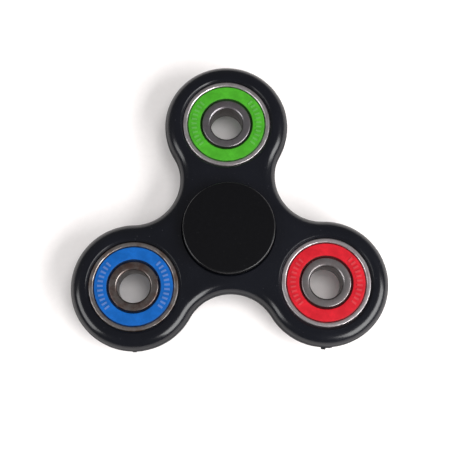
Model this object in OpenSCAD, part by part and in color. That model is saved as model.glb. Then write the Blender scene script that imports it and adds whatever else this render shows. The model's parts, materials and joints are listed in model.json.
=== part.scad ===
// Three-lobed hand spinner with four ball bearings and two finger caps.
// The origin is on the spin axis, halfway through the body. +Z leaves through the front cap,
// and +Y runs to the green lobe.

/* [Body] */
// Wall between a bearing pocket and the outside of the body
rim = 4.4; // [3.6:0.1:7]
// Wall between the middle pocket and the pocket of each lobe
web = 4.9; // [4.1:0.1:9]
// Thickness of the moulded body
body_t = 8; // [6.6:0.1:11]
// Radius of the rounded edge all round the body
edge_r = 3.2; // [0.5:0.1:4]
// Chamfer at each mouth of a bearing pocket
mouth = 0.9; // [0.2:0.1:1.4]

/* [Bearings] */
// Outside diameter of a bearing
bearing_od = 22; // [20.4:0.1:28]
// Bore of a bearing
bearing_bore = 8; // [6.6:0.1:9.6]
// Width of a bearing
bearing_w = 7; // [6.6:0.1:9]
// Diameter of a ball
ball_d = 3.969; // [3.3:0.001:4.2]
// Number of balls in a bearing
ball_n = 7; // [6:1:8]
// Depth of the ball track in each ring
track_depth = 0.58; // [0.3:0.01:0.8]
// Chamfer on the outside and bore edges of the rings
ring_chamfer = 0.4; // [0.1:0.05:0.6]
// Broken edge on the faces of the rings, next to the seal
ring_break = 0.15; // [0.05:0.01:0.2]

/* [Seals] */
// Width of the seat that a seal rests on in the outer ring
seat_w = 0.8; // [0.6:0.05:1.2]
// Depth of the groove that holds the rim of a seal
snap_depth = 0.25; // [0.1:0.01:0.35]
// Distance from the face of the rings down to the face of a seal
seal_recess = 0.2; // [0.05:0.01:0.3]
// Width of the dark gap between a seal and the inner ring
seal_gap = 0.33; // [0.15:0.01:0.6]
// Running clearance under the lip of a seal
lip_gap = 0.08; // [0.05:0.01:0.14]
// Thickness of the steel insert in a seal
insert_t = 0.2; // [0.1:0.01:0.25]
// Thickness of the steel shields of the middle bearing
shield_t = 0.3; // [0.15:0.01:0.4]

/* [Cages] */
// Thickness of the cage behind a ball
cage_web = 0.35; // [0.2:0.01:0.5]
// Width of the slot between two neighbouring ball pockets
cage_slot = 1.1; // [0.5:0.05:1.4]
// Height of the prongs past the middle of the balls
prong_h = 1.3; // [0.8:0.05:1.6]

/* [Caps] */
// Overlap of a finger cap over the middle bearing
cap_lap = 0.25; // [0:0.05:1.5]
// Thickness of the flat part of a finger cap
cap_t = 2.1; // [1.2:0.1:4]
// Radius of the rounded edges of a finger cap
cap_edge = 0.4; // [0.1:0.05:0.6]
// Gap between a finger cap and the body under it
cap_gap = 0.35; // [0.2:0.05:1]
// Gap between the ends of the two stems inside the middle bore
stem_gap = 0.3; // [0.1:0.1:1]

/* [Clearances] */
// Radial clearance between a ball and its tracks
track_play = 0.05; // [0.04:0.01:0.08]
// Clearance between a ball and its pocket in the cage
ball_play = 0.1; // [0.06:0.01:0.2]
// Clearance between a cage and the shoulders of the rings
cage_side = 0.45; // [0.3:0.05:0.6]
// Clearance between a cage and the seal or shield behind it
cage_end = 0.165; // [0.1:0.005:0.4]

/* [Hidden] */
$fn = 96;

// Past a face that a cut goes through
over = 1;
// Turn between a lobe and the waist next to it
sixth = 60;
// Least flat left beside a rounded edge
flat_min = 0.1;

pocket_r = bearing_od / 2;
lobe_r = pocket_r + rim;
arm = bearing_od + web;
// The waists are sunk a hair below the lobe ends, so that the two surfaces cross cleanly
waist_sink = 0.01;
waist_r = arm - lobe_r + waist_sink;
edge = min(edge_r, rim - mouth - flat_min, body_t / 2 - flat_min);

bore_r = bearing_bore / 2;
ball_r = ball_d / 2;
pitch_r = (bearing_od + bearing_bore) / 4;
track_r = ball_r + track_play;
// Shoulders of the two rings beside the balls
inner_r = pitch_r - track_r + track_depth;
outer_r = pitch_r + track_r - track_depth;

// Heights above the middle of a bearing, from the balls outwards
pocket_ball_r = ball_r + ball_play;
cage_top = pocket_ball_r + cage_web;
seat_z = cage_top + cage_end;
insert_top = seat_z + insert_t;
face_z = bearing_w / 2;
seal_top = face_z - seal_recess;

// Radii of the seal seat in the outer ring
seal_r = outer_r + seat_w;
snap_r = seal_r + snap_depth;
insert_in = inner_r + 2 * seal_gap;
insert_out = seal_r - snap_depth;

// Underside and top of the flat part of a cap
cap_low = max(body_t, bearing_w) / 2 + cap_gap;
cap_top = cap_low + cap_t;
// Step between the land of the inner ring and the boss of a cap
boss_step = 0.3;

body_colour = [0.06, 0.06, 0.07];
cap_colour = [0.1, 0.1, 0.1];
steel_colour = [0.6, 0.6, 0.62];
ball_colour = [0.8, 0.8, 0.82];
cage_colour = [0.86, 0.84, 0.78];

// Name, direction from the spin axis, distance from it, and colour of the seals
CENTRE = ["centre", 0, 0, steel_colour];
LOBES = [
    ["green", 90, arm, [0.28, 0.72, 0.15]],
    ["blue", 210, arm, [0.07, 0.4, 0.85]],
    ["red", 330, arm, [0.92, 0.14, 0.19]]
];
BEARINGS = concat([CENTRE], LOBES);

// Moves what follows out by a distance in a direction, without turning it
module out_at(direction, distance) {
    translate([distance * cos(direction), distance * sin(direction), 0])
        children();
}

// Moves what follows to a bearing's own centre
module at(bearing) {
    out_at(bearing[1], bearing[2])
        children();
}

// Turns what follows over, so that it faces the back
module to_back() {
    rotate([180, 0, 0])
        children();
}

// A quarter of a disc, in the corner where both coordinates are positive
module quarter_disc(r) {
    intersection() {
        circle(r = r);
        square(r + over);
    }
}

// Half of the section of a disc of radius r and thickness t with rounded edges. Its parts meet
// edge to edge, so that the arcs end exactly where the flats begin
module rounded_half(r, t, e) {
    translate([0, -t / 2])
        square([r - e, t]);
    translate([r - e, e - t / 2])
        square([e, t - 2 * e]);
    for (side = [0, 1])
        mirror([0, side])
            translate([r - e, t / 2 - e])
                quarter_disc(e);
}

// ---- body

// The rounded end of one lobe, as a whole disc
module lobe_end() {
    rotate_extrude()
        rounded_half(lobe_r, body_t, edge);
}

// What one waist takes out of the middle of the body: a spool that widens over the rounded edges
module waist_spool() {
    rotate_extrude()
        difference() {
            translate([0, -body_t / 2 - over])
                square([waist_r + edge, body_t + 2 * over]);
            translate([waist_r, edge - body_t / 2])
                square([edge + over, body_t - 2 * edge]);
            for (side = [0, 1])
                mirror([0, side])
                    translate([waist_r + edge, body_t / 2 - edge])
                        mirror([1, 0])
                            quarter_disc(edge);
        }
}

// The middle of the body: a hexagon between the lobe centres and the waist centres
module middle() {
    difference() {
        linear_extrude(height = body_t, center = true)
            polygon([for (k = [0:5]) arm * [cos(90 + k * sixth), sin(90 + k * sixth)]]);
        for (b = LOBES)
            out_at(b[1] + sixth, arm)
                waist_spool();
    }
}

// Through pockets for all the bearings, chamfered at both mouths
module pockets() {
    for (b = BEARINGS)
        at(b) {
            cylinder(r = pocket_r, h = body_t + 2 * over, center = true);
            for (side = [0, 1])
                mirror([0, 0, side])
                    translate([0, 0, body_t / 2 - mouth])
                        cylinder(r1 = pocket_r, r2 = pocket_r + mouth + over, h = mouth + over);
        }
}

// The pockets are cut before the four parts join, so that no part is left with a point at a centre
module spinner_body() {
    color(body_colour)
        union() {
            difference() {
                middle();
                pockets();
            }
            for (b = LOBES)
                difference() {
                    at(b)
                        lobe_end();
                    pockets();
                }
        }
}

// ---- finger caps

// A flat button with a boss that bears on the inner ring and a stem pressed into its bore
module finger_cap() {
    color(cap_colour)
        union() {
            translate([0, 0, (cap_low + cap_top) / 2])
                rotate_extrude()
                    rounded_half(pocket_r + cap_lap, cap_t, cap_edge);
            translate([0, 0, face_z])
                cylinder(r = inner_r - boss_step, h = cap_low - face_z);
            translate([0, 0, stem_gap / 2])
                cylinder(r = bore_r, h = face_z - stem_gap / 2);
        }
}

module front_cap() {
    finger_cap();
}

module back_cap() {
    to_back()
        finger_cap();
}

// ---- bearings, each about its own centre

// The ball track, as a ring that both rings are cut by
module track() {
    rotate_extrude()
        translate([pitch_r, 0])
            circle(r = track_r);
}

module outer_ring() {
    half = [
        [outer_r, seat_z],
        [snap_r, seat_z],
        [snap_r, seal_top - snap_depth - ring_break],
        [seal_r, seal_top - ring_break],
        [seal_r, face_z - ring_break],
        [seal_r + ring_break, face_z],
        [pocket_r - ring_chamfer, face_z],
        [pocket_r, face_z - ring_chamfer]
    ];
    color(steel_colour)
        difference() {
            rotate_extrude()
                polygon(mirrored(half));
            track();
        }
}

module inner_ring() {
    half = [
        [inner_r, face_z - ring_break],
        [inner_r - ring_break, face_z],
        [bore_r + ring_chamfer, face_z],
        [bore_r, face_z - ring_chamfer]
    ];
    color(steel_colour)
        difference() {
            rotate_extrude()
                polygon(mirrored(half));
            track();
        }
}

// A half-section with its mirror image below the middle of the bearing
function mirrored(half) =
    concat(half, [for (k = [len(half) - 1:-1:0]) [half[k][0], -half[k][1]]]);

// Turn to ball number k
function ball_turn(k) = (k - 1) * 360 / ball_n;

module ball(k) {
    color(ball_colour)
        out_at(ball_turn(k), pitch_r)
            sphere(r = ball_r);
}

// A one-piece crown: a ring behind the balls with prongs that reach past them
module cage() {
    inside = inner_r + cage_side;
    outside = outer_r - cage_side;
    color(cage_colour)
        difference() {
            rotate_extrude()
                translate([inside, -prong_h])
                    square([outside - inside, prong_h + cage_top]);
            for (k = [1:ball_n]) {
                out_at(ball_turn(k), pitch_r)
                    sphere(r = pocket_ball_r);
                rotate([0, 0, ball_turn(k + 0.5)])
                    translate([inside - over, -cage_slot / 2, -prong_h - over])
                        cube([outside - inside + 2 * over, cage_slot, prong_h + over + ball_r / 2]);
            }
        }
}

// The rubber of a front seal: a flat ring with a snap rim outside and a thin lip inside
module seal(colour) {
    color(colour)
        rotate_extrude()
            polygon([
                [inner_r + lip_gap, insert_top],
                [insert_out, insert_top],
                [insert_out, seat_z],
                [snap_r - lip_gap, seat_z],
                [snap_r - lip_gap, seal_top - snap_depth - ring_break],
                [seal_r, seal_top - lip_gap - ring_break],
                [seal_r, seal_top - lip_gap],
                [seal_r - lip_gap, seal_top],
                [inner_r + seal_gap + lip_gap, seal_top],
                [inner_r + seal_gap, seal_top - lip_gap],
                [inner_r + seal_gap, insert_top + 2 * lip_gap],
                [inner_r + lip_gap, insert_top + lip_gap]
            ]);
}

// The flat steel ring that stiffens a front seal and rests on the seat of the outer ring
module seal_insert() {
    color(steel_colour)
        rotate_extrude()
            translate([insert_in, seat_z])
                square([insert_out - insert_in, insert_t]);
}

// A front shield of the middle bearing: a dished steel ring, crimped into the outer ring
module shield() {
    dish = seat_z + shield_t / 2;
    color(steel_colour)
        rotate_extrude()
            polygon([
                [inner_r + seal_gap, dish],
                [insert_out - snap_depth, dish],
                [insert_out, seat_z],
                [snap_r - lip_gap, seat_z],
                [seal_r, dish],
                [insert_out, dish + shield_t],
                [inner_r + seal_gap, dish + shield_t]
            ]);
}

// ---- the assembly

spinner_body();
front_cap();
back_cap();
shield();  // centre_front_shield
to_back() shield();  // centre_back_shield
for (b = BEARINGS) {
    at(b) outer_ring();
    at(b) inner_ring();
    at(b) cage();
    for (k = [1:ball_n])
        at(b) ball(k);
}
for (b = LOBES) {
    at(b) seal(b[3]);
    at(b) to_back() seal(b[3]);
    at(b) seal_insert();
    at(b) to_back() seal_insert();
}
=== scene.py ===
"""A three-lobed hand spinner with four ball bearings, modelled around its packed CAD frame."""
import json
import math
from math import cos, pi, radians, sin

import bpy
from mathutils import Matrix, Vector


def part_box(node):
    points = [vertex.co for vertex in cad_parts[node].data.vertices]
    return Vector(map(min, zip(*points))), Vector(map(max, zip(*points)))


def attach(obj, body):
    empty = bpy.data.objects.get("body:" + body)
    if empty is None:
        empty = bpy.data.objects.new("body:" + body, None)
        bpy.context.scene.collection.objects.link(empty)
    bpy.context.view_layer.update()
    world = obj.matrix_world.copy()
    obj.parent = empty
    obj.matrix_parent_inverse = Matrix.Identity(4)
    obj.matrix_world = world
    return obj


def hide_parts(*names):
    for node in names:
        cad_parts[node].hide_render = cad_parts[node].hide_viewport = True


bl_info = {
    "name": "Hand Spinner",
    "version": (1, 0, 0),
    "blender": (4, 5, 0),
    "location": "3D View > Sidebar > Spinner",
    "description": "Builds a three-lobed hand spinner with ball bearings around its CAD frame",
    "category": "Add Mesh",
}

MM = 0.001
LOBES = ("green", "blue", "red")
SIDES = ("front", "back")

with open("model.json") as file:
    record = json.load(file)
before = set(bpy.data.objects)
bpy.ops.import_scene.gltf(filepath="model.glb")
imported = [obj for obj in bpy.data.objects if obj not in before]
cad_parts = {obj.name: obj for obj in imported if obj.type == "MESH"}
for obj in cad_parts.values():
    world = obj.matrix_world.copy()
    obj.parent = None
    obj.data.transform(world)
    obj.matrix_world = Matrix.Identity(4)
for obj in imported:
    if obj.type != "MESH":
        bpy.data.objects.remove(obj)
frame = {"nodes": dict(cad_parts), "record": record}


# ---- sizes taken from the frame


def reach_of(node):
    """The radius of a round CAD node on the spin axis."""
    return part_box(node)[1].x


CENTRES = {"centre": Vector((0, 0, 0))}
for mount in frame["record"]["mounts"]:
    if mount["kind"] == "bore":
        CENTRES[mount["name"].removesuffix("_bore")] = Vector(mount["pos_m"])
        BORE_R = mount["dims"]["r_mm"] * MM
BODY_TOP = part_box("spinner_body")[1].z
ARM = CENTRES["green"].length
LOBE_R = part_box("spinner_body")[1].y - ARM
WAIST_R = ARM - LOBE_R
POCKET_R = reach_of("centre_outer_ring")
RING_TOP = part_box("green_outer_ring")[1].z
LAND_R = reach_of("centre_inner_ring")
PITCH_R = (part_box("centre_ball_1")[0].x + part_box("centre_ball_1")[1].x) / 2
BALL_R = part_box("centre_ball_1")[1].z
CAP_R = reach_of("front_cap")
CAP_LOW_END, CAP_TOP = (corner.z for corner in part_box("front_cap"))
SEAT_Z, SEAL_TOP = (corner.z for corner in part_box("green_front_seal"))
FLOOR_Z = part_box("back_cap")[0].z


# ---- sizes and finishes that stay as they are

RING_STEPS = 160
BORE_STEPS = 128
SEAL_STEPS = 180
POCKET_STEPS = 180
# Places closer than this are one place
TINY = 0.004 * MM

# Widths of the softened edges
STEEL_SOFTENING = 0.045 * MM
RUBBER_SOFTENING = 0.03 * MM
CAP_SOFTENING = 0.1 * MM

# The ribs of a seal: the band they stand in, outwards from the inner edge of the seal's face,
# how far round from its left and right sides they reach, and the width of one, in degrees
RIB_BAND = (0.85 * MM, 2.25 * MM)
RIB_REACH = 44
RIB_TURN = 4

# The duller band on the body's side: the height it keeps to, and the height it has faded at
PARTING_BAND = 1.4 * MM
PARTING_FADE = 2.8 * MM

# The polished rim of a cap begins, and is fully polished, at these distances from its edge
RIM_POLISH = 0.42 * MM
RIM_POLISH_FULL = 0.20 * MM

# Torn stubs of the moulding gates: the lobe, the direction in degrees, the scale and the seed
GATE_STUBS = (("blue", 271, 0.4 * MM, 3), ("red", 267, 1.0 * MM, 8))
# The strip and the stub at each: start and end in degrees, height kept and reach, by the scale
GATE_PARTS = ((1, 7, 0.4, 0.20), (-3, 1, 0.5, 0.36))

# The floor is a hair under the back cap, and turns white between these distances from the axis
FLOOR_SIZE = 3
FLOOR_GAP = 0.02 * MM
FLOOR_FADE = (0.12, 0.40)
WHITE = (1.0, 1.0, 1.0, 1.0)
SENSOR_WIDTH = 36

# Each soft lamp: its name, place, width and height, watts, and whether gloss and metal show it
LAMPS = (
    ("right_softbox", (0.41, -0.23, 0.35), (0.60, 0.32), 5.8, True),
    ("left_softbox", (-0.45, -0.15, 0.36), (0.36, 0.26), 1.8, True),
    ("high_softbox", (0.12, 0.05, 0.50), (0.20, 0.20), 0.8, False),
)

# How much paler the ribs of each colour of seal have worn
RIB_WEAR = {"green": 0.30, "blue": 0.60, "red": 0.22}

# Steel of each ring: its tint, the tint of its stains and how much of it they cover
RING_TINTS = {
    "centre_outer_ring": ((0.60, 0.60, 0.61), (0.45, 0.43, 0.41), 0.4),
    "centre_inner_ring": ((0.60, 0.60, 0.61), (0.45, 0.43, 0.41), 0.4),
    "green_outer_ring": ((0.80, 0.75, 0.76), (0.40, 0.35, 0.36), 0.9),
    "green_inner_ring": ((0.32, 0.305, 0.32), (0.19, 0.165, 0.18), 0.9),
    "blue_outer_ring": ((0.42, 0.39, 0.38), (0.17, 0.12, 0.10), 1.0),
    "blue_inner_ring": ((0.26, 0.23, 0.22), (0.11, 0.07, 0.06), 1.0),
    "red_outer_ring": ((0.76, 0.71, 0.72), (0.37, 0.31, 0.32), 0.9),
    "red_inner_ring": ((0.38, 0.355, 0.36), (0.20, 0.17, 0.17), 0.9),
}


# ---- properties a user would change


class SpinnerBodyShape(bpy.types.PropertyGroup):
    """Shape and finish of the moulded body"""

    edge_round: bpy.props.FloatProperty(
        name="Edge round", description="Radius of the rounded edge all round the body",
        default=3.2 * MM, min=0.5 * MM, max=3.9 * MM, unit="LENGTH", precision=5)
    mouth_chamfer: bpy.props.FloatProperty(
        name="Mouth chamfer", description="Chamfer at each mouth of a bearing pocket",
        default=0.55 * MM, min=0.2 * MM, max=1 * MM, unit="LENGTH", precision=5)
    mouth_round: bpy.props.FloatProperty(
        name="Mouth round", description="Radius of the softened corners of the pocket mouths",
        default=0.07 * MM, min=0.02 * MM, max=0.09 * MM, unit="LENGTH", precision=5)
    arc_step: bpy.props.FloatProperty(
        name="Arc step", description="Turn from one section of the body to the next",
        default=radians(2), min=radians(1), max=radians(10), subtype="ANGLE")
    colour: bpy.props.FloatVectorProperty(
        name="Colour", description="Colour of the moulded plastic",
        default=(0.0034, 0.0038, 0.0062), min=0, max=1, subtype="COLOR")


class FingerCapShape(bpy.types.PropertyGroup):
    """Shape and finish of the two finger caps"""

    edge_round: bpy.props.FloatProperty(
        name="Edge round", description="Radius of the rounded edges of a cap",
        default=0.4 * MM, min=0.1 * MM, max=0.8 * MM, unit="LENGTH", precision=5)
    disc_thickness: bpy.props.FloatProperty(
        name="Disc thickness", description="Thickness of the flat part of a cap",
        default=2.1 * MM, min=1 * MM, max=2.4 * MM, unit="LENGTH", precision=5)
    boss_radius: bpy.props.FloatProperty(
        name="Boss radius", description="Radius of the boss that bears on the inner ring",
        default=5.7455 * MM, min=4.5 * MM, max=6 * MM, unit="LENGTH", precision=5)
    colour: bpy.props.FloatVectorProperty(
        name="Colour", description="Colour of the grained plastic",
        default=(0.0020, 0.0020, 0.0026), min=0, max=1, subtype="COLOR")


class BearingRingShape(bpy.types.PropertyGroup):
    """Shape of the steel rings of a bearing"""

    chamfer: bpy.props.FloatProperty(
        name="Chamfer", description="Chamfer on the outer edges of the outer rings",
        default=0.32 * MM, min=0.1 * MM, max=0.6 * MM, unit="LENGTH", precision=5)
    bore_chamfer: bpy.props.FloatProperty(
        name="Bore chamfer", description="Chamfer at each end of the bore of an inner ring",
        default=0.38 * MM, min=0.2 * MM, max=0.8 * MM, unit="LENGTH", precision=5)
    edge_break: bpy.props.FloatProperty(
        name="Edge break", description="Broken edge of the ring faces beside the seal",
        default=0.2 * MM, min=0.05 * MM, max=0.25 * MM, unit="LENGTH", precision=5)
    seat_width: bpy.props.FloatProperty(
        name="Seat width", description="Width of the seat that a seal rests on",
        default=0.8 * MM, min=0.6 * MM, max=1.2 * MM, unit="LENGTH", precision=5)
    snap_depth: bpy.props.FloatProperty(
        name="Snap depth", description="Depth of the groove that holds the rim of a seal",
        default=0.25 * MM, min=0.1 * MM, max=0.35 * MM, unit="LENGTH", precision=5)
    track_play: bpy.props.FloatProperty(
        name="Track play", description="Clearance between a ball and its tracks",
        default=0.05 * MM, min=0.04 * MM, max=0.08 * MM, unit="LENGTH", precision=5)
    track_steps: bpy.props.IntProperty(
        name="Track steps", description="Facets across a ball track",
        default=12, min=4, max=32)


class RubberSealShape(bpy.types.PropertyGroup):
    """Shape and colours of the rubber seals"""

    gap: bpy.props.FloatProperty(
        name="Gap", description="Width of the dark gap between a seal and the inner ring",
        default=0.50 * MM, min=0.15 * MM, max=0.6 * MM, unit="LENGTH", precision=5)
    gutter: bpy.props.FloatProperty(
        name="Gutter", description="Width of the sloped rim of a seal beside the outer ring",
        default=0.26 * MM, min=0.1 * MM, max=0.4 * MM, unit="LENGTH", precision=5)
    lip_gap: bpy.props.FloatProperty(
        name="Lip gap", description="Running clearance under the lip of a seal",
        default=0.08 * MM, min=0.05 * MM, max=0.14 * MM, unit="LENGTH", precision=5)
    insert_thickness: bpy.props.FloatProperty(
        name="Insert thickness", description="Thickness of the steel insert under the rubber",
        default=0.2 * MM, min=0.1 * MM, max=0.25 * MM, unit="LENGTH", precision=5)
    rib_height: bpy.props.FloatProperty(
        name="Rib height", description="Height of the small grip ribs on the rubber",
        default=0.10 * MM, min=0.02 * MM, max=0.12 * MM, unit="LENGTH", precision=5)
    green: bpy.props.FloatVectorProperty(
        name="Green", description="Colour of the rubber of the green seals",
        default=(0.048, 0.290, 0.014), min=0, max=1, subtype="COLOR")
    blue: bpy.props.FloatVectorProperty(
        name="Blue", description="Colour of the rubber of the blue seals",
        default=(0.001, 0.084, 0.335), min=0, max=1, subtype="COLOR")
    red: bpy.props.FloatVectorProperty(
        name="Red", description="Colour of the rubber of the red seals",
        default=(0.460, 0.006, 0.015), min=0, max=1, subtype="COLOR")


class StageSetup(bpy.types.PropertyGroup):
    """Camera, lamps and floor"""

    lens: bpy.props.FloatProperty(
        name="Lens", description="Focal length of the camera on a 36 mm sensor",
        default=71.8, min=20, max=200, unit="CAMERA")
    distance: bpy.props.FloatProperty(
        name="Distance", description="Distance from the camera to the middle of the spinner",
        default=226.3 * MM, min=0.05, max=2, unit="LENGTH")
    tilt: bpy.props.FloatProperty(
        name="Tilt", description="How far the far lobe leans away from the camera",
        default=radians(-10.89), subtype="ANGLE")
    lean: bpy.props.FloatProperty(
        name="Lean", description="How far the right lobe leans away from the camera",
        default=radians(0.98), subtype="ANGLE")
    roll: bpy.props.FloatProperty(
        name="Roll", description="Turn of the spinner as the camera sees it",
        default=radians(1.11), subtype="ANGLE")
    aim: bpy.props.FloatVectorProperty(
        name="Aim", description="Where the spin axis sits, right of and above the view's middle",
        default=(-0.08 * MM, -0.77 * MM), size=2, unit="LENGTH")
    floor_colour: bpy.props.FloatVectorProperty(
        name="Floor colour", description="Colour of the floor",
        default=(0.87, 0.834, 0.824), min=0, max=1, subtype="COLOR")
    floor_lift: bpy.props.FloatProperty(
        name="Floor lift", description="How much whiter the floor looks than it lights the piece",
        default=0.07, min=0, max=1)
    room_light: bpy.props.FloatProperty(
        name="Room light", description="Strength of the even light from the room",
        default=0.20, min=0, max=1)
    mirror_light: bpy.props.FloatProperty(
        name="Mirror light", description="How bright the room shows in metal and gloss",
        default=0.22, min=0, max=1)


SETTINGS = {
    "spinner_body_shape": SpinnerBodyShape,
    "spinner_cap_shape": FingerCapShape,
    "spinner_ring_shape": BearingRingShape,
    "spinner_seal_shape": RubberSealShape,
    "spinner_stage_setup": StageSetup,
}


# ---- modelling, by hand operators


def start_piece(name):
    """Names the new primitive, puts its place in its mesh and opens it with all selected."""
    piece = bpy.context.active_object
    piece.name = piece.data.name = name
    bpy.ops.object.transform_apply(location=True, rotation=True, scale=True)
    bpy.ops.object.mode_set(mode="EDIT")
    bpy.ops.mesh.select_mode(type="VERT")
    bpy.ops.mesh.select_all(action="SELECT")
    return piece


def nothing_selected():
    """Leaves edit mode and deselects every object."""
    if bpy.context.object and bpy.context.object.mode != "OBJECT":
        bpy.ops.object.mode_set(mode="OBJECT")
    bpy.ops.object.select_all(action="DESELECT")


def select_only(*pieces):
    """Selects these pieces alone and makes the first of them active."""
    nothing_selected()
    for piece in pieces:
        piece.select_set(True)
    bpy.context.view_layer.objects.active = pieces[0]


def pick(piece, wanted, kind="VERT"):
    """Selects just the vertices, level edges or faces whose place passes a test, in edit mode."""
    bpy.ops.object.mode_set(mode="EDIT")
    bpy.ops.mesh.select_mode(type=kind)
    bpy.ops.mesh.select_all(action="DESELECT")
    bpy.ops.object.mode_set(mode="OBJECT")
    mesh = piece.data
    if kind == "VERT":
        for v in mesh.vertices:
            v.select = wanted(v.co)
    elif kind == "EDGE":
        for e in mesh.edges:
            start, end = (mesh.vertices[i].co for i in e.vertices)
            e.select = abs(start.z - end.z) < TINY and wanted(start) and wanted(end)
    else:
        for f in mesh.polygons:
            f.select = wanted(f.center)
    bpy.ops.object.mode_set(mode="EDIT")
    bpy.ops.mesh.select_mode(type=kind)


def tidy_shell():
    """Merges doubles and turns every face outwards."""
    bpy.ops.mesh.select_mode(type="VERT")
    bpy.ops.mesh.select_all(action="SELECT")
    bpy.ops.mesh.remove_doubles(threshold=TINY / 4)
    bpy.ops.mesh.normals_make_consistent(inside=False)


def soften_edges(width, angle=25, segments=3):
    """Rounds every edge that turns by more than an angle."""
    bpy.ops.mesh.select_mode(type="EDGE")
    bpy.ops.mesh.select_all(action="DESELECT")
    bpy.ops.mesh.edges_select_sharp(sharpness=radians(angle))
    bpy.ops.mesh.bevel(offset=width, segments=segments, affect="EDGES", clamp_overlap=True)


def finish_piece(piece, body, material, stands_for, crease=40):
    """Settles a piece at the origin, shades it, and ties it to the frame."""
    select_only(piece)
    bpy.ops.object.transform_apply(location=True, rotation=True, scale=True)
    bpy.ops.object.shade_smooth_by_angle(angle=radians(crease), keep_sharp_edges=False)
    bpy.ops.object.modifier_add(type="WEIGHTED_NORMAL")
    weighted = piece.modifiers[-1]
    weighted.keep_sharp = True
    weighted.weight = 80
    bpy.ops.object.modifier_apply(modifier=weighted.name)
    piece.data.materials.clear()
    piece.data.materials.append(material)
    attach(piece, body)
    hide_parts(stands_for)


def copy_of(piece, name, move=(0, 0, 0), turned_over=False):
    """Another of the same piece with its own mesh, moved or turned over about the X axis."""
    select_only(piece)
    bpy.ops.object.duplicate(linked=False)
    other = bpy.context.active_object
    other.name = other.data.name = name
    other.parent = None
    if turned_over:
        bpy.ops.transform.rotate(value=pi, orient_axis="X", center_override=(0, 0, 0))
    bpy.ops.transform.translate(value=move)
    bpy.ops.object.transform_apply(location=True, rotation=True, scale=True)
    return other


def turn_strip(name, stations, steps):
    """A wall about the Z axis: a circle drawn out and resized from station to station."""
    nothing_selected()
    radius, height = stations[0]
    bpy.ops.mesh.primitive_circle_add(vertices=steps, radius=radius, location=(0, 0, height))
    piece = start_piece(name)
    for next_radius, next_height in stations[1:]:
        bpy.ops.mesh.extrude_region()
        scale = next_radius / radius
        bpy.ops.transform.resize(value=(scale, scale, 1), center_override=(0, 0, height))
        bpy.ops.transform.translate(value=(0, 0, next_height - height))
        radius, height = next_radius, next_height
    return piece


def turn_ring(name, stations, steps):
    """A closed ring about the Z axis, whose section goes from station to station and back."""
    piece = turn_strip(name, stations + stations[:1], steps)
    tidy_shell()
    return piece


def both_sides(half):
    """A half-section, from the middle outwards, with its mirror image below it."""
    return half + [(r, -z) for r, z in reversed(half)]


# ---- node groups for the finishes


def new_group(name, inputs, outputs):
    """A shader node group with named sockets: (name, socket type, default)."""
    group = bpy.data.node_groups.new(name, "ShaderNodeTree")
    for label, kind, default in inputs:
        socket = group.interface.new_socket(label, in_out="INPUT", socket_type=kind)
        if default is not None:
            socket.default_value = default
    for label, kind in outputs:
        group.interface.new_socket(label, in_out="OUTPUT", socket_type=kind)
    entry = group.nodes.new("NodeGroupInput")
    leave = group.nodes.new("NodeGroupOutput")
    return group, entry, leave


class Wiring:
    """Places and joins the nodes of one tree."""

    def __init__(self, tree):
        self.tree = tree

    def node(self, kind, settings=None, **values):
        made = self.tree.nodes.new(kind)
        for key, value in (settings or {}).items():
            setattr(made, key, value)
        for key, value in values.items():
            self.feed(made.inputs[key.replace("_", " ")], value)
        return made

    def feed(self, socket, value):
        if isinstance(value, bpy.types.NodeSocket):
            self.tree.links.new(value, socket)
        else:
            socket.default_value = value

    def maths(self, operation, first, second=0.0):
        made = self.node("ShaderNodeMath", {"operation": operation})
        self.feed(made.inputs[0], first)
        self.feed(made.inputs[1], second)
        return made.outputs[0]

    def ramp(self, value, low, high, to_low=0.0, to_high=1.0, smooth=True):
        made = self.node("ShaderNodeMapRange", {
            "interpolation_type": "SMOOTHSTEP" if smooth else "LINEAR", "clamp": True})
        for label, number in (("Value", value), ("From Min", low), ("From Max", high),
                              ("To Min", to_low), ("To Max", to_high)):
            self.feed(made.inputs[label], number)
        return made.outputs[0]

    def noise(self, vector, scale, detail=2.0, roughness=0.5):
        made = self.node("ShaderNodeTexNoise", Vector=vector, Scale=scale, Detail=detail,
                         Roughness=roughness)
        return made.outputs["Fac"]

    def mix(self, amount, first, second):
        made = self.node("ShaderNodeMix", {"data_type": "RGBA"})
        self.feed(made.inputs[0], amount)
        self.feed(made.inputs[6], first)
        self.feed(made.inputs[7], second)
        return made.outputs[2]

    def group(self, name, **values):
        """Places a finish's node group, which is built the first time that it is asked for."""
        made = self.tree.nodes.new("ShaderNodeGroup")
        made.node_tree = bpy.data.node_groups.get(name) or GROUP_MAKERS[name]()
        for key, value in values.items():
            self.feed(made.inputs[key.replace("_", " ")], value)
        return made

    def between(self, mask, at_none, at_full):
        """A number that goes evenly from one value to another as a mask goes from 0 to 1."""
        return self.ramp(mask, 0.0, 1.0, at_none, at_full, smooth=False)

    def bump(self, shader, height, strength, depth):
        """Joins a height to a shader's normal."""
        made = self.node("ShaderNodeBump", Strength=strength, Distance=depth, Height=height)
        self.feed(shader.inputs["Normal"], made.outputs[0])

    def own_place(self, centre=(0, 0, 0)):
        """Object coordinates, with a mapping that puts a piece's own centre at zero."""
        place = self.tree.nodes.new("ShaderNodeTexCoord")
        mapping = self.node("ShaderNodeMapping", {"vector_type": "POINT"},
                            Vector=place.outputs["Object"])
        mapping.inputs["Location"].default_value = tuple(-c for c in centre)
        return mapping.outputs[0]


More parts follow.
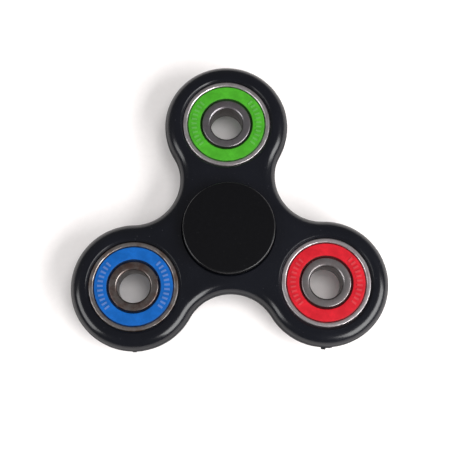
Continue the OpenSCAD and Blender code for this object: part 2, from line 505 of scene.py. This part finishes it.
def fine_grain_group():
    """Grain: a height and a mask that break up a moulded surface."""
    group, entry, leave = new_group(
        "fine_grain",
        [("Vector", "NodeSocketVector", None), ("Grain Scale", "NodeSocketFloat", 4000.0),
         ("Cloud Scale", "NodeSocketFloat", 120.0)],
        [("Height", "NodeSocketFloat"), ("Cloud", "NodeSocketFloat")])
    w = Wiring(group)
    fine = w.noise(entry.outputs["Vector"], entry.outputs["Grain Scale"], 3.0, 0.6)
    cloud = w.noise(entry.outputs["Vector"], entry.outputs["Cloud Scale"], 4.0, 0.55)
    w.feed(leave.inputs["Height"], fine)
    w.feed(leave.inputs["Cloud"], w.ramp(cloud, 0.3, 0.7))
    return group


def turned_marks_group():
    """Turning marks: fine rings about the centre, on a face and along a bore alike."""
    group, entry, leave = new_group(
        "turned_marks",
        [("Vector", "NodeSocketVector", None), ("Line Scale", "NodeSocketFloat", 9000.0),
         ("Stain Scale", "NodeSocketFloat", 350.0)],
        [("Lines", "NodeSocketFloat"), ("Stain", "NodeSocketFloat"),
         ("Scratch", "NodeSocketFloat"), ("Radius", "NodeSocketFloat")])
    w = Wiring(group)
    apart = w.node("ShaderNodeSeparateXYZ", Vector=entry.outputs["Vector"])
    x, y, z = apart.outputs
    radius = w.maths("SQRT", w.maths("ADD", w.maths("MULTIPLY", x, x), w.maths("MULTIPLY", y, y)))
    along = w.node("ShaderNodeCombineXYZ", X=radius, Z=z)
    lines = w.noise(along.outputs[0], entry.outputs["Line Scale"], 2.0, 0.7)
    stain = w.noise(entry.outputs["Vector"], entry.outputs["Stain Scale"], 5.0, 0.62)
    turn = w.maths("ARCTAN2", y, x)
    streak = w.node("ShaderNodeCombineXYZ", X=w.maths("MULTIPLY", turn, 0.0009), Y=radius, Z=z)
    scratch = w.noise(streak.outputs[0], w.maths("MULTIPLY", entry.outputs["Line Scale"], 0.45),
                      4.0, 0.75)
    w.feed(leave.inputs["Lines"], lines)
    w.feed(leave.inputs["Stain"], w.ramp(stain, 0.36, 0.66))
    w.feed(leave.inputs["Scratch"], w.ramp(scratch, 0.48, 0.72))
    w.feed(leave.inputs["Radius"], radius)
    return group


def dust_group():
    """Dust: sparse pale specks on a surface."""
    group, entry, leave = new_group(
        "fine_dust",
        [("Vector", "NodeSocketVector", None), ("Speck Scale", "NodeSocketFloat", 2600.0),
         ("Amount", "NodeSocketFloat", 0.3)],
        [("Specks", "NodeSocketFloat")])
    w = Wiring(group)
    cells = w.node("ShaderNodeTexVoronoi", {"feature": "F1"}, Vector=entry.outputs["Vector"],
                   Scale=entry.outputs["Speck Scale"])
    near = w.ramp(cells.outputs["Distance"], 0.05, 0.22, 1.0, 0.0)
    rare = w.ramp(cells.outputs["Color"], 0.75, 0.95)
    w.feed(leave.inputs["Specks"],
           w.maths("MULTIPLY", w.maths("MULTIPLY", near, rare), entry.outputs["Amount"]))
    return group


GROUP_MAKERS = {"fine_grain": fine_grain_group, "turned_marks": turned_marks_group,
                "fine_dust": dust_group}


def new_material(name, view_colour, metallic=0.0, specular=0.5):
    """A material with an empty Principled shader; constants go on the shader's own sockets."""
    material = bpy.data.materials.new(name)
    material.use_nodes = True
    material.diffuse_color = (*view_colour[:3], 1)
    tree = material.node_tree
    shader = tree.nodes["Principled BSDF"]
    shader.inputs["Metallic"].default_value = metallic
    shader.inputs["Specular IOR Level"].default_value = specular
    return material, Wiring(tree), shader


def shade(colour, factor):
    """A colour made lighter or darker, as four numbers."""
    return (*(min(1.0, c * factor) for c in colour[:3]), 1.0)


def body_plastic(colour):
    """Satin moulded plastic with a faint flow mottle."""
    material, w, shader = new_material("body_plastic", colour, specular=0.34)
    place = w.own_place()
    grain = w.group("fine_grain", Vector=place, Grain_Scale=2600.0, Cloud_Scale=90.0)
    dust = w.group("fine_dust", Vector=place, Speck_Scale=1500.0, Amount=0.25)
    mottled = w.mix(grain.outputs["Cloud"], shade(colour, 0.86), shade(colour, 1.16))
    w.feed(shader.inputs["Base Color"],
           w.mix(dust.outputs["Specks"], mottled, (0.12, 0.12, 0.13, 1.0)))
    # The mould's two halves part at half height, and the plastic is duller there
    height = w.maths("ABSOLUTE", w.node("ShaderNodeSeparateXYZ", Vector=place).outputs["Z"])
    w.feed(shader.inputs["Roughness"],
           w.maths("MAXIMUM", w.between(grain.outputs["Cloud"], 0.17, 0.23),
                   w.ramp(height, PARTING_BAND, PARTING_FADE, 0.85, 0.17)))
    w.bump(shader, grain.outputs["Height"], 0.12, 0.02 * MM)
    return material


def cap_plastic(colour):
    """Matt grained plastic."""
    material, w, shader = new_material("cap_plastic", colour, specular=0.09)
    shader.inputs["Coat Roughness"].default_value = 0.30
    place = w.own_place()
    grain = w.group("fine_grain", Vector=place, Grain_Scale=1500.0, Cloud_Scale=160.0)
    dust = w.group("fine_dust", Vector=place, Speck_Scale=1700.0, Amount=0.15)
    mottled = w.mix(grain.outputs["Height"], shade(colour, 0.6), shade(colour, 1.5))
    # Handling has polished the rim
    marks = w.group("turned_marks", Vector=place, Line_Scale=2000.0, Stain_Scale=200.0)
    polish = w.ramp(marks.outputs["Radius"], CAP_R - RIM_POLISH, CAP_R - RIM_POLISH_FULL)
    w.feed(shader.inputs["Base Color"],
           w.mix(dust.outputs["Specks"], mottled, (0.10, 0.10, 0.10, 1.0)))
    w.feed(shader.inputs["Coat Weight"], w.between(polish, 0.0, 0.62))
    w.feed(shader.inputs["Roughness"], w.between(polish, 0.56, 0.30))
    w.bump(shader, grain.outputs["Height"], 0.55, 0.04 * MM)
    return material


def ring_steel(name, centre, tint, stain_tint, stain_amount):
    """Ground bearing steel, handled and a little stained, with turning marks about its centre."""
    material, w, shader = new_material(name, tint, metallic=1.0)
    place = w.own_place(centre)
    marks = w.group("turned_marks", Vector=place, Line_Scale=7000.0, Stain_Scale=320.0)
    stained = w.mix(w.maths("MULTIPLY", marks.outputs["Stain"], stain_amount),
                    shade(tint, 1.0), shade(stain_tint, 1.0))
    streaked = w.mix(w.maths("MULTIPLY", marks.outputs["Scratch"], 0.35), stained,
                     shade(tint, 0.45))
    # The wall of the bore is darkened with painted shade
    bore_wall_shade = w.ramp(marks.outputs["Radius"], BORE_R + 0.03 * MM, BORE_R + 0.12 * MM, 0.85, 0.0)
    w.feed(shader.inputs["Base Color"], w.mix(bore_wall_shade, streaked, (0.060, 0.050, 0.047, 1.0)))
    w.feed(shader.inputs["Roughness"], w.between(marks.outputs["Stain"], 0.30, 0.44))
    w.bump(shader, marks.outputs["Lines"], 0.3, 0.01 * MM)
    return material


def ball_steel():
    """Polished chrome steel."""
    material, w, shader = new_material("ball_steel", (0.7, 0.7, 0.72), metallic=1.0)
    place = w.own_place()
    grain = w.group("fine_grain", Vector=place, Grain_Scale=5000.0, Cloud_Scale=600.0)
    w.feed(shader.inputs["Base Color"],
           w.mix(grain.outputs["Cloud"], (0.60, 0.60, 0.62, 1.0), (0.68, 0.68, 0.70, 1.0)))
    w.feed(shader.inputs["Roughness"], w.between(grain.outputs["Cloud"], 0.08, 0.16))
    return material


def pressed_steel():
    """Bright pressed sheet steel of the seal inserts and the shields."""
    material, w, shader = new_material("pressed_steel", (0.6, 0.6, 0.6), metallic=1.0)
    place = w.own_place()
    grain = w.group("fine_grain", Vector=place, Grain_Scale=3500.0, Cloud_Scale=400.0)
    w.feed(shader.inputs["Base Color"],
           w.mix(grain.outputs["Cloud"], (0.42, 0.42, 0.43, 1.0), (0.56, 0.56, 0.57, 1.0)))
    w.feed(shader.inputs["Roughness"],
           w.ramp(grain.outputs["Height"], 0.2, 0.8, 0.28, 0.44, smooth=False))
    w.bump(shader, grain.outputs["Height"], 0.25, 0.01 * MM)
    return material


def cage_nylon():
    """Natural moulded nylon, slightly yellowed by grease."""
    material, w, shader = new_material("cage_nylon", (0.75, 0.7, 0.58), specular=0.45)
    place = w.own_place()
    grain = w.group("fine_grain", Vector=place, Grain_Scale=3000.0, Cloud_Scale=260.0)
    w.feed(shader.inputs["Base Color"],
           w.mix(grain.outputs["Cloud"], (0.66, 0.62, 0.50, 1.0), (0.74, 0.71, 0.61, 1.0)))
    w.feed(shader.inputs["Roughness"], w.between(grain.outputs["Cloud"], 0.38, 0.52))
    w.bump(shader, grain.outputs["Height"], 0.2, 0.01 * MM)
    return material


def seal_rubber(name, centre, colour, wear, face_r, rim_r):
    """Coloured rubber with a fine tooth, between the radii where its face begins and ends."""
    material, w, shader = new_material(name, colour, specular=0.22)
    place = w.own_place(centre)
    marks = w.group("turned_marks", Vector=place, Line_Scale=2500.0, Stain_Scale=500.0)
    grain = w.group("fine_grain", Vector=place, Grain_Scale=2200.0, Cloud_Scale=420.0)
    radius = marks.outputs["Radius"]
    cloudy = w.mix(grain.outputs["Cloud"], shade(colour, 0.84), shade(colour, 1.12))
    mottled = w.mix(w.ramp(grain.outputs["Height"], 0.3, 0.7, 0.0, 0.35), cloudy,
                    shade(colour, 0.6))
    # Ribs are worn paler; painted shade darkens the rim groove and the lip by the inner ring
    height = w.maths("ABSOLUTE", w.node("ShaderNodeSeparateXYZ", Vector=place).outputs["Z"])
    proud = w.ramp(height, SEAL_TOP + 0.02 * MM, SEAL_TOP + 0.06 * MM)
    paler = tuple(0.80 * c + 0.11 for c in colour[:3]) + (1.0,)
    worn = w.mix(w.maths("MULTIPLY", proud, wear), mottled, paler)
    # Painted shade, in patches, darkens the groove at the seal's rim
    rim_groove_shade = w.maths("MULTIPLY", w.ramp(radius, rim_r - 0.34 * MM, rim_r - 0.20 * MM),
                    w.between(marks.outputs["Stain"], 0.7, 0.95))
    # Painted shade darkens the lip in the gap beside the inner ring
    lip_gap_shade = w.ramp(radius, face_r - 0.02 * MM, face_r + 0.10 * MM, 0.95, 0.0)
    shaded_rubber = w.mix(w.maths("MAXIMUM", rim_groove_shade, lip_gap_shade), worn, shade(colour, 0.05))
    specks = w.group("fine_dust", Vector=place, Speck_Scale=2400.0, Amount=0.35)
    w.feed(shader.inputs["Base Color"], w.mix(specks.outputs["Specks"], shaded_rubber, paler))
    w.feed(shader.inputs["Roughness"], w.between(grain.outputs["Cloud"], 0.46, 0.60))
    w.bump(shader, grain.outputs["Height"], 0.35, 0.02 * MM)
    return material


# ---- operators, one for each kind of piece


def heading(degrees):
    """A level direction, as a vector one long."""
    return Vector((cos(radians(degrees)), sin(radians(degrees)), 0))


class SPINNER_OT_body(bpy.types.Operator):
    """Model the three-lobed moulded body"""

    bl_idname = "spinner.body"
    bl_label = "Moulded Body"

    def execute(self, context):
        shape = context.scene.spinner_body_shape
        mouth_r = POCKET_R + shape.mouth_chamfer
        flat_end = LOBE_R - shape.edge_round
        # Two margins on the narrow flat: one beside the mouths, one beside the large round
        inner_margin = mouth_r + (flat_end - mouth_r) / 3
        outer_margin = flat_end - (flat_end - mouth_r) / 3
        lobe = CENTRES["green"]
        # In degrees: where its section starts on a lobe, and how far it goes round lobe and waist
        start, round_lobe, round_waist = -30, 240, 120
        waist = heading(-start) * ARM
        out = heading(start)
        wall_top = BODY_TOP - shape.mouth_chamfer

        def sweep(centre, turn):
            steps = round(abs(turn) / shape.arc_step)
            bpy.ops.mesh.spin(steps=steps, angle=-turn, center=centre, axis=(0, 0, 1))

        def in_direction(co, degrees):
            turn = math.atan2(co.y - lobe.y, co.x - lobe.x) - radians(degrees)
            return abs((turn + pi) % (2 * pi) - pi) < 0.001

        def from_lobe(co):
            return (co.xy - lobe.xy).length

        # The square-edged section of a lobe, drawn corner by corner from the pocket wall
        nothing_selected()
        corners = [(POCKET_R, -wall_top), (POCKET_R, wall_top), (mouth_r, BODY_TOP),
                   (inner_margin, BODY_TOP), (outer_margin, BODY_TOP), (LOBE_R, BODY_TOP),
                   (LOBE_R, -BODY_TOP), (outer_margin, -BODY_TOP), (inner_margin, -BODY_TOP),
                   (mouth_r, -BODY_TOP), (POCKET_R, -wall_top)]
        places = [lobe + out * r + Vector((0, 0, z)) for r, z in corners]
        bpy.ops.mesh.primitive_plane_add(size=MM, location=places[0])
        piece = start_piece("moulded_body")
        bpy.ops.mesh.merge(type="CENTER")
        for here, there in zip(places, places[1:]):
            bpy.ops.mesh.extrude_vertices_move(TRANSFORM_OT_translate={"value": there - here})

        # Round the outside of the lobe, then its pocket wall on to where it began
        bpy.ops.mesh.select_all(action="SELECT")
        sweep(lobe, radians(round_lobe))
        pick(piece, lambda co: in_direction(co, start + round_lobe)
             and from_lobe(co) < inner_margin + TINY)
        sweep(lobe, radians(360 - round_lobe))
        # Round the waist, from the outer part of the first section
        pick(piece, lambda co: in_direction(co, start) and from_lobe(co) > outer_margin - TINY)
        sweep(waist, radians(round_waist))
        tidy_shell()

        # The other two thirds are this one turned about the spin axis
        bpy.ops.mesh.select_all(action="SELECT")
        bpy.ops.mesh.spin(steps=2, angle=-radians(240), center=(0, 0, 0), axis=(0, 0, 1),
                          dupli=True)

        # The wall of the middle pocket, with the same chamfers and margin
        middle = turn_strip("middle_pocket", [
            (inner_margin, -BODY_TOP), (mouth_r, -BODY_TOP), (POCKET_R, -wall_top),
            (POCKET_R, wall_top), (mouth_r, BODY_TOP), (inner_margin, BODY_TOP)], POCKET_STEPS)
        select_only(piece, middle)
        bpy.ops.object.join()
        bpy.ops.object.mode_set(mode="EDIT")
        tidy_shell()

        # The flat front and back between the lobes
        for height in (BODY_TOP, -BODY_TOP):
            bpy.ops.mesh.select_mode(type="EDGE")
            bpy.ops.mesh.select_all(action="DESELECT")
            bpy.ops.mesh.select_non_manifold(extend=False, use_wire=False, use_boundary=True,
                                             use_multi_face=False, use_non_contiguous=False,
                                             use_verts=False)
            bpy.ops.object.mode_set(mode="OBJECT")
            for edge in piece.data.edges:
                if edge.select and piece.data.vertices[edge.vertices[0]].co.z * height < 0:
                    edge.select = False
            bpy.ops.object.mode_set(mode="EDIT")
            bpy.ops.mesh.fill(use_beauty=True)
        tidy_shell()

        # The large round all along the outside, then the softened corners of the pocket mouths
        def on_rim(co):
            if abs(abs(co.z) - BODY_TOP) > TINY:
                return False
            lobes = min((co.xy - CENTRES[name].xy).length for name in LOBES)
            if abs(lobes - LOBE_R) < TINY:
                return True
            waists = min((co.xy + CENTRES[name].xy).length for name in LOBES)
            return abs(waists - WAIST_R) < TINY

        pick(piece, on_rim, "EDGE")
        bpy.ops.mesh.bevel(offset=shape.edge_round, segments=14, affect="EDGES")
        soften_edges(shape.mouth_round, angle=30)
        tidy_shell()

        # The torn stubs of two moulding gates on the near side, each with a ragged strip beside it
        def on_side(name, start, end):
            def wanted(co):
                away = co - CENTRES[name]
                turn = math.degrees(math.atan2(away.y, away.x)) % 360
                return abs(co.z) < TINY and start < turn < end and away.xy.length < LOBE_R
            return wanted

        for name, turn, size, seed in GATE_STUBS:
            for start, end, flatness, reach in GATE_PARTS:
                pick(piece, on_side(name, turn + start, turn + end), "FACE")
                bpy.ops.mesh.inset(thickness=0.02 * MM, use_even_offset=True)
                bpy.ops.transform.resize(value=(1, 1, flatness))
                bpy.ops.mesh.extrude_region()
                bpy.ops.transform.translate(value=(0, -reach * size, 0))
                bpy.ops.transform.vertex_random(offset=0.05 * size, uniform=1.0, normal=0.0,
                                                seed=seed)
            bpy.ops.mesh.extrude_region()
            bpy.ops.transform.translate(value=(0.04 * size, -0.16 * size, 0))
            bpy.ops.transform.resize(value=(0.75, 1, 0.8))
        tidy_shell()
        finish_piece(piece, "rotor", body_plastic(shape.colour), "spinner_body")
        return {"FINISHED"}


class SPINNER_OT_finger_caps(bpy.types.Operator):
    """Model the front and back finger caps with their stems"""

    bl_idname = "spinner.finger_caps"
    bl_label = "Finger Caps"

    def execute(self, context):
        shape = context.scene.spinner_cap_shape
        disc_low = CAP_TOP - shape.disc_thickness
        nothing_selected()
        bpy.ops.mesh.primitive_cylinder_add(
            vertices=RING_STEPS, radius=CAP_R, depth=shape.disc_thickness,
            location=(0, 0, (CAP_TOP + disc_low) / 2))
        front = start_piece("front_finger_cap")
        # Boss and stem are drawn down out of the underside
        pick(front, lambda co: abs(co.z - disc_low) < TINY and co.xy.length < TINY, "FACE")
        bpy.ops.mesh.inset(thickness=CAP_R - shape.boss_radius, use_even_offset=True)
        bpy.ops.mesh.extrude_region()
        bpy.ops.transform.translate(value=(0, 0, RING_TOP - disc_low))
        bpy.ops.mesh.inset(thickness=shape.boss_radius - BORE_R, use_even_offset=True)
        bpy.ops.mesh.extrude_region()
        bpy.ops.transform.translate(value=(0, 0, CAP_LOW_END - RING_TOP))
        bpy.ops.mesh.inset(thickness=BORE_R / 2, use_even_offset=True)
        pick(front, lambda co: abs(co.xy.length - CAP_R) < TINY
             and (abs(co.z - CAP_TOP) < TINY or abs(co.z - disc_low) < TINY), "EDGE")
        bpy.ops.mesh.bevel(offset=shape.edge_round, segments=6, affect="EDGES")
        # A narrow border and one ring inside keep the round top's shading even
        pick(front, lambda co: abs(co.z - CAP_TOP) < TINY and co.xy.length < TINY, "FACE")
        for width in (0.2 * MM, 5 * MM, 4 * MM):
            bpy.ops.mesh.inset(thickness=width, use_even_offset=True)
        soften_edges(CAP_SOFTENING, angle=35, segments=2)
        tidy_shell()
        bpy.ops.object.mode_set(mode="OBJECT")
        back = copy_of(front, "back_finger_cap", turned_over=True)
        finish = cap_plastic(shape.colour)
        finish_piece(front, "grip", finish, "front_cap")
        finish_piece(back, "grip", finish, "back_cap")
        return {"FINISHED"}


def ball_track(sign, shoulder_r, play, steps):
    """The arc of a ball track in a ring's wall, from the middle up to the shoulder."""
    track_r = BALL_R + play
    reach = math.acos(abs(shoulder_r - PITCH_R) / track_r)
    return [(PITCH_R + sign * track_r * cos(reach * k / steps), track_r * sin(reach * k / steps))
            for k in range(1, steps + 1)]


class SPINNER_OT_bearing_rings(bpy.types.Operator):
    """Model the outer and inner steel rings and copy them to all four bearings"""

    bl_idname = "spinner.bearing_rings"
    bl_label = "Bearing Rings"

    def execute(self, context):
        shape = context.scene.spinner_ring_shape
        steps = shape.track_steps // 2
        shoulder_r = 2 * PITCH_R - LAND_R
        seal_r = shoulder_r + shape.seat_width
        snap_r = seal_r + shape.snap_depth
        top, broken = RING_TOP, shape.edge_break
        outer_half = ball_track(1, shoulder_r, shape.track_play, steps) + [
            (shoulder_r, SEAT_Z),
            (snap_r, SEAT_Z),
            (snap_r, SEAL_TOP - shape.snap_depth - broken),
            (seal_r, SEAL_TOP - broken),
            (seal_r, top - broken),
            (seal_r + broken, top),
            (POCKET_R - shape.chamfer, top),
            (POCKET_R, top - shape.chamfer)]
        inner_half = ball_track(-1, LAND_R, shape.track_play, steps) + [
            (LAND_R, top - broken),
            (LAND_R - broken, top),
            (BORE_R + shape.bore_chamfer, top),
            (BORE_R, top - shape.bore_chamfer)]
        track_r = BALL_R + shape.track_play
        kinds = (("outer_ring", [(PITCH_R + track_r, 0)] + both_sides(outer_half), RING_STEPS),
                 ("inner_ring", [(PITCH_R - track_r, 0)] + both_sides(inner_half), BORE_STEPS))
        for kind, stations, around in kinds:
            first = turn_ring("centre_" + kind + "_steel", stations, around)
            soften_edges(STEEL_SOFTENING, angle=28, segments=2)
            tidy_shell()
            bpy.ops.object.mode_set(mode="OBJECT")
            made = {"centre": first}
            for lobe in LOBES:
                made[lobe] = copy_of(first, lobe + "_" + kind + "_steel", move=CENTRES[lobe])
            for name, piece in made.items():
                if kind == "outer_ring":
                    rides = "rotor"
                else:
                    rides = "grip" if name == "centre" else name + "_inner"
                node = name + "_" + kind
                finish = ring_steel(node + "_finish", CENTRES[name], *RING_TINTS[node])
                finish_piece(piece, rides, finish, node, crease=50)
        return {"FINISHED"}


class SPINNER_OT_rubber_seals(bpy.types.Operator):
    """Model a rubber seal with its grip ribs and copy it to the front and back of each lobe"""

    bl_idname = "spinner.rubber_seals"
    bl_label = "Rubber Seals"

    def execute(self, context):
        shape = context.scene.spinner_seal_shape
        ring = context.scene.spinner_ring_shape
        lip, top, broken = shape.lip_gap, SEAL_TOP, ring.edge_break
        seal_r = 2 * PITCH_R - LAND_R + ring.seat_width
        snap_r = seal_r + ring.snap_depth
        insert_out = seal_r - ring.snap_depth
        insert_top = SEAT_Z + shape.insert_thickness
        face_in = LAND_R + shape.gap
        band_in, band_out = (face_in + width for width in RIB_BAND)
        stations = [
            (LAND_R + lip, insert_top),
            (insert_out, insert_top),
            (insert_out, SEAT_Z),
            (snap_r - lip, SEAT_Z),
            (snap_r - lip, top - ring.snap_depth - broken),
            (seal_r, top - lip - broken),
            (seal_r, top - lip - broken / 2),
            (seal_r - shape.gutter, top),
            (band_out, top),
            (band_in, top),
            (face_in + lip, top),
            (face_in, top - lip),
            (face_in, insert_top + 2 * lip),
            (LAND_R + lip, insert_top + lip)]
        first = turn_ring("seal_pattern", stations, SEAL_STEPS)
        soften_edges(RUBBER_SOFTENING, angle=28, segments=2)
        tidy_shell()

        # Short ribs, as wide as the gaps between them, stand up on the left and right
        def under_rib(co):
            if abs(co.z - top) > TINY or not band_in < co.xy.length < band_out:
                return False
            turn = math.degrees(math.atan2(co.y, co.x)) % 360
            from_side = abs(math.degrees(math.atan2(co.y, abs(co.x))))
            return from_side < RIB_REACH and turn // RIB_TURN % 2 == 0

        pick(first, under_rib, "FACE")
        bpy.ops.mesh.inset(thickness=0.05 * MM, depth=shape.rib_height, use_even_offset=True)
        bpy.ops.object.mode_set(mode="OBJECT")

        for lobe in LOBES:
            finish = seal_rubber(lobe + "_rubber", CENTRES[lobe], getattr(shape, lobe),
                                 RIB_WEAR[lobe], face_in, seal_r)
            for side in SIDES:
                piece = copy_of(first, f"{lobe}_{side}_rubber_seal", move=CENTRES[lobe],
                                turned_over=side == "back")
                finish_piece(piece, "rotor", finish, f"{lobe}_{side}_seal")
        bpy.data.objects.remove(first)
        return {"FINISHED"}


class SPINNER_OT_inner_finishes(bpy.types.Operator):
    """Give the balls, cages, seal inserts and shields their finishes"""

    bl_idname = "spinner.inner_finishes"
    bl_label = "Inner Finishes"

    def execute(self, context):
        finishes = {"ball": ball_steel(), "cage": cage_nylon(), "insert": pressed_steel()}
        finishes["shield"] = finishes["insert"]
        for name, node in frame["nodes"].items():
            kind = next((word for word in finishes if word in name), None)
            if kind is None:
                continue
            node.data.materials.clear()
            node.data.materials.append(finishes[kind])
        return {"FINISHED"}


def looking_rays(w):
    """The rays from the eye, and those that arrive by a mirror or through glass."""
    path = w.tree.nodes.new("ShaderNodeLightPath")
    return path.outputs["Is Camera Ray"], w.maths(
        "MAXIMUM", path.outputs["Is Glossy Ray"], path.outputs["Is Transmission Ray"])


def lay_floor(setup):
    """A wide plain floor, which the back cap rests on. Far off it fades into the white room."""
    nothing_selected()
    bpy.ops.mesh.primitive_plane_add(size=FLOOR_SIZE, location=(0, 0, FLOOR_Z - FLOOR_GAP))
    floor = start_piece("studio_floor")
    bpy.ops.mesh.subdivide(number_cuts=3)
    nothing_selected()
    material, w, shader = new_material("floor_paper", setup.floor_colour, specular=0.1)
    shader.inputs["Roughness"].default_value = 0.9
    place = w.own_place()
    w.feed(shader.inputs["Base Color"],
           w.mix(w.ramp(w.noise(place, 900.0, 3.0), 0.3, 0.7), shade(setup.floor_colour, 0.99),
                 shade(setup.floor_colour, 1.01)))
    from_axis = w.node("ShaderNodeVectorMath", {"operation": "LENGTH"}, Vector=place)
    lift = w.ramp(from_axis.outputs["Value"], *FLOOR_FADE, setup.floor_lift, 1.0)
    glow = w.node("ShaderNodeEmission", Color=WHITE,
                  Strength=w.maths("MULTIPLY", w.maths("MAXIMUM", *looking_rays(w)), lift))
    both = w.tree.nodes.new("ShaderNodeAddShader")
    w.tree.links.new(shader.outputs[0], both.inputs[0])
    w.tree.links.new(glow.outputs[0], both.inputs[1])
    w.tree.links.new(both.outputs[0], w.tree.nodes["Material Output"].inputs["Surface"])
    floor.data.materials.append(material)


def light_room(scene, setup):
    """Dim light from all round, which is white only to the eye, and dimmer in gloss and metal."""
    world = bpy.data.worlds.new("soft_room")
    world.use_nodes = True
    scene.world = world
    sky = Wiring(world.node_tree)
    background = world.node_tree.nodes["Background"]
    background.inputs["Color"].default_value = WHITE
    eye, mirrors = looking_rays(sky)
    sky.feed(background.inputs["Strength"],
             sky.maths("MAXIMUM", sky.between(eye, setup.room_light, 1.0),
                       sky.between(mirrors, setup.room_light, setup.mirror_light)))


def hang_lamps(scene):
    """Soft lamps that face the spinner."""
    for name, place, (width, height), watts, in_mirrors in LAMPS:
        data = bpy.data.lights.new(name, "AREA")
        data.shape = "RECTANGLE"
        data.size, data.size_y = width, height
        data.energy = watts
        made = bpy.data.objects.new(name, data)
        scene.collection.objects.link(made)
        made.location = place
        made.rotation_euler = (-Vector(place)).to_track_quat("-Z", "Y").to_euler()
        made.visible_glossy = in_mirrors


def set_camera(scene, setup):
    """A camera nearly straight above, placed by how the spinner leans away from it."""
    tilt = Matrix.Rotation(setup.tilt, 3, "X")
    lean = Matrix.Rotation(setup.lean, 3, "Y")
    roll = Matrix.Rotation(setup.roll, 3, "Z")
    facing = (roll @ lean @ tilt).transposed()
    data = bpy.data.cameras.new("studio_camera")
    data.lens = setup.lens
    data.sensor_width = SENSOR_WIDTH
    data.sensor_fit = "HORIZONTAL"
    data.clip_start = 0.01
    camera = bpy.data.objects.new("studio_camera", data)
    scene.collection.objects.link(camera)
    place = facing @ Vector((-setup.aim[0], -setup.aim[1], setup.distance))
    camera.matrix_world = Matrix.Translation(place) @ facing.to_4x4()
    scene.camera = camera


class SPINNER_OT_stage(bpy.types.Operator):
    """Set the floor, the soft lamps, the world and the camera"""

    bl_idname = "spinner.stage"
    bl_label = "Floor, Lamps and Camera"

    def execute(self, context):
        setup = context.scene.spinner_stage_setup
        lay_floor(setup)
        light_room(context.scene, setup)
        hang_lamps(context.scene)
        set_camera(context.scene, setup)
        context.scene.view_settings.view_transform = "Standard"
        return {"FINISHED"}


PIECE_OPERATORS = (
    SPINNER_OT_body, SPINNER_OT_finger_caps, SPINNER_OT_bearing_rings, SPINNER_OT_rubber_seals,
    SPINNER_OT_inner_finishes, SPINNER_OT_stage)


class SPINNER_PT_panel(bpy.types.Panel):
    """Lists the spinner's sizes and the operators that build it"""

    bl_label = "Hand Spinner"
    bl_idname = "SPINNER_PT_panel"
    bl_space_type = "VIEW_3D"
    bl_region_type = "UI"
    bl_category = "Spinner"

    def draw(self, context):
        layout = self.layout
        for name, group in SETTINGS.items():
            box = layout.box()
            box.label(text=group.__doc__)
            for prop in group.__annotations__:
                box.prop(getattr(context.scene, name), prop)
        for operator in PIECE_OPERATORS:
            layout.operator(operator.bl_idname)


CLASSES = tuple(SETTINGS.values()) + PIECE_OPERATORS + (SPINNER_PT_panel,)


def register():
    for cls in CLASSES:
        bpy.utils.register_class(cls)
    for name, group in SETTINGS.items():
        setattr(bpy.types.Scene, name, bpy.props.PointerProperty(type=group))


def unregister():
    for name in SETTINGS:
        delattr(bpy.types.Scene, name)
    for cls in reversed(CLASSES):
        bpy.utils.unregister_class(cls)


def main():
    register()
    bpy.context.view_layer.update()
    bpy.ops.spinner.body()
    bpy.ops.spinner.finger_caps()
    bpy.ops.spinner.bearing_rings()
    bpy.ops.spinner.rubber_seals()
    bpy.ops.spinner.inner_finishes()
    bpy.ops.spinner.stage()


if __name__ == "__main__":
    main()
